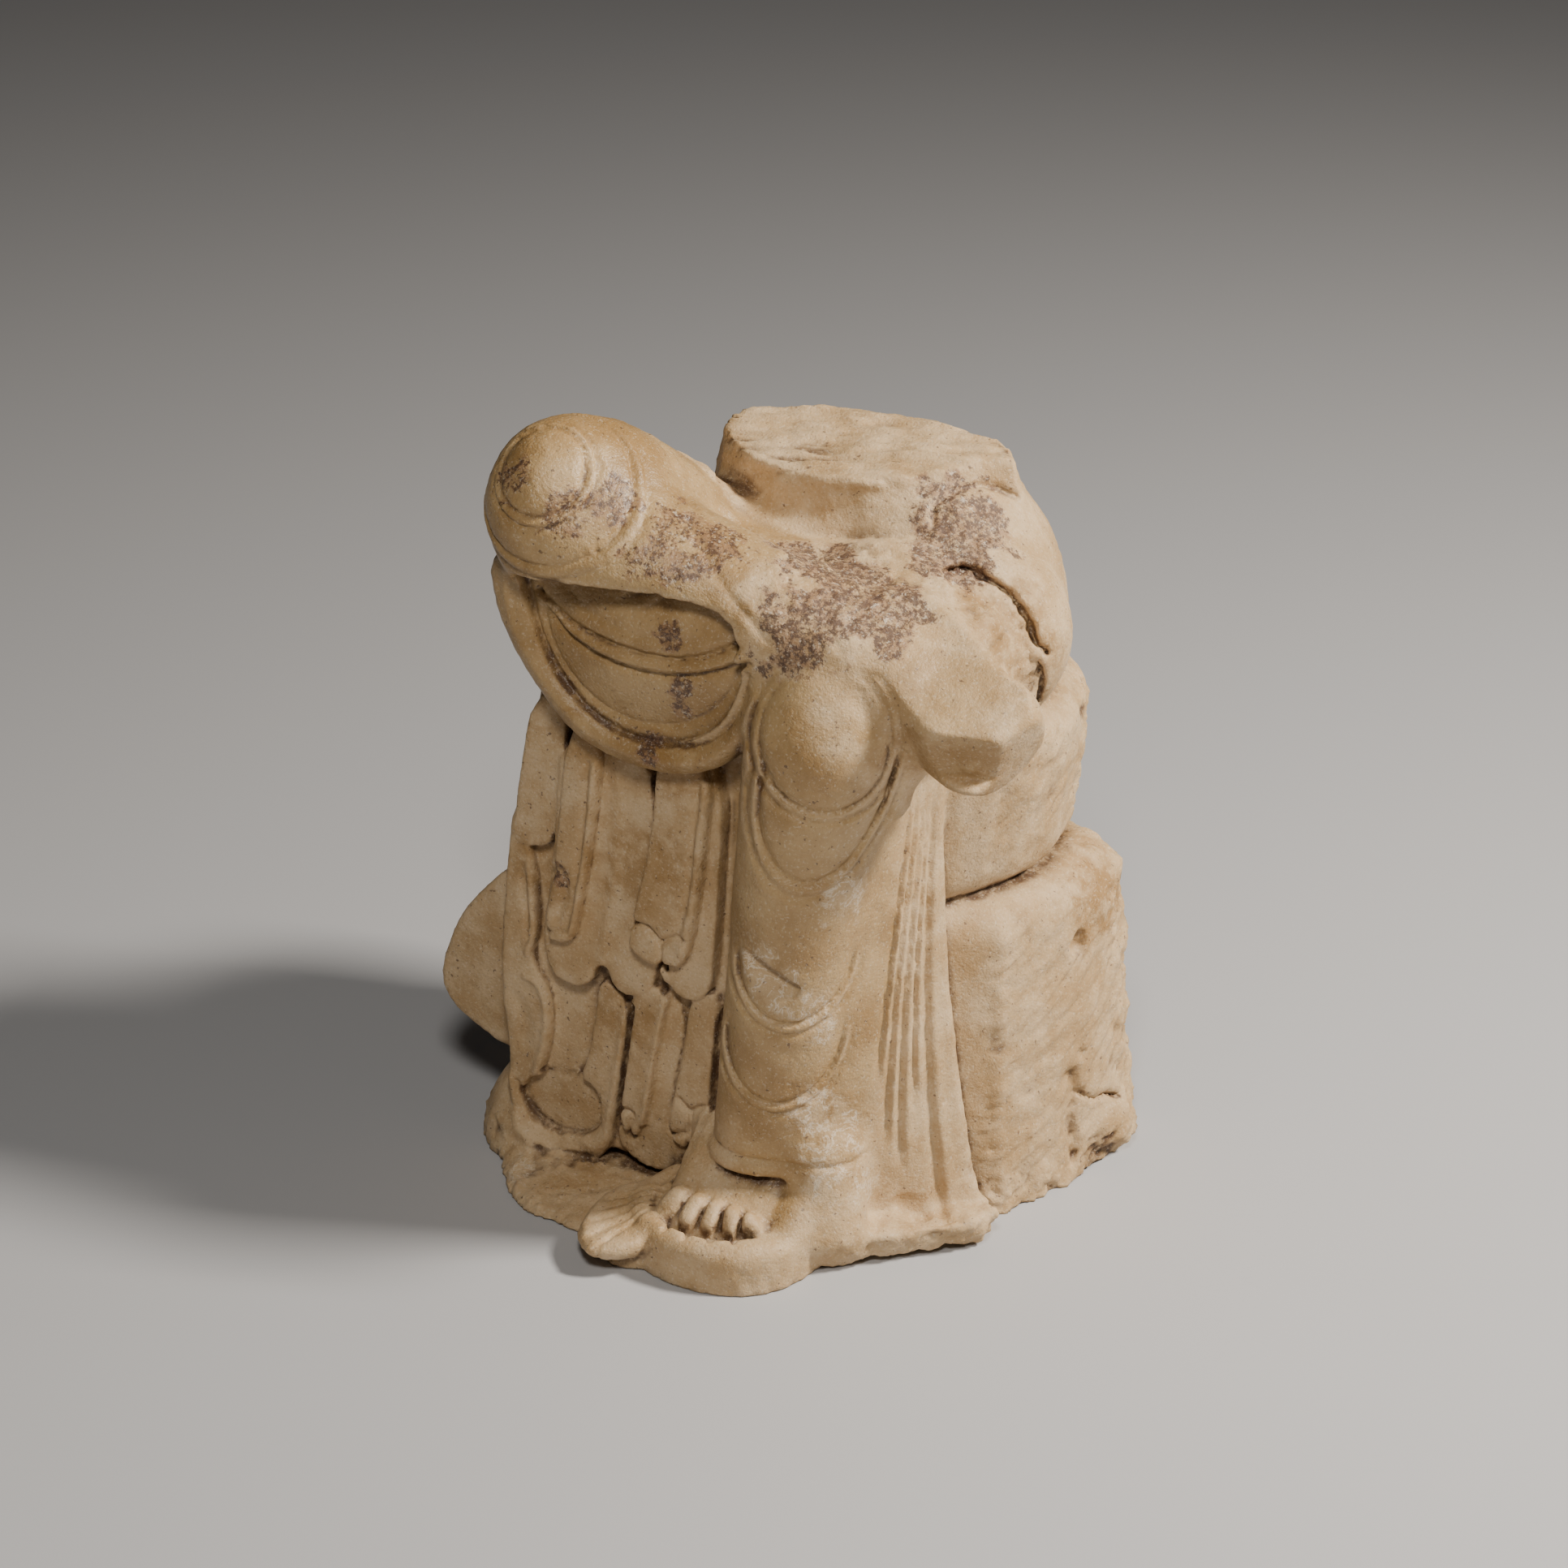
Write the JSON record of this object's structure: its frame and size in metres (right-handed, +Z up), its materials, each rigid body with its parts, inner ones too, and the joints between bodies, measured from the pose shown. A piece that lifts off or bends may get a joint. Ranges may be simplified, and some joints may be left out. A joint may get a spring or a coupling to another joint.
{
  "type": "broken marble seated figure",
  "caption": "Lower half of a carved marble figure seated on a rough stool, one leg crossed over the other, with draped skirt, bare foot on a flower pad and a broken waist.",
  "frame": {"origin": "centre of the bounding box at the underside, on the floor", "axes": "+X to the viewer's right when the figure is seen from its front, +Y to its back, +Z up"},
  "size_m": [0.2294, 0.1948, 0.2722],
  "materials": {
    "marble": "worn cream marble, softly polished on the knees, grainy elsewhere, with ochre patina and brown-purple crust"
  },
  "bodies": {
    "root": {"marble_figure": "marble"}
  },
  "joints": []
}
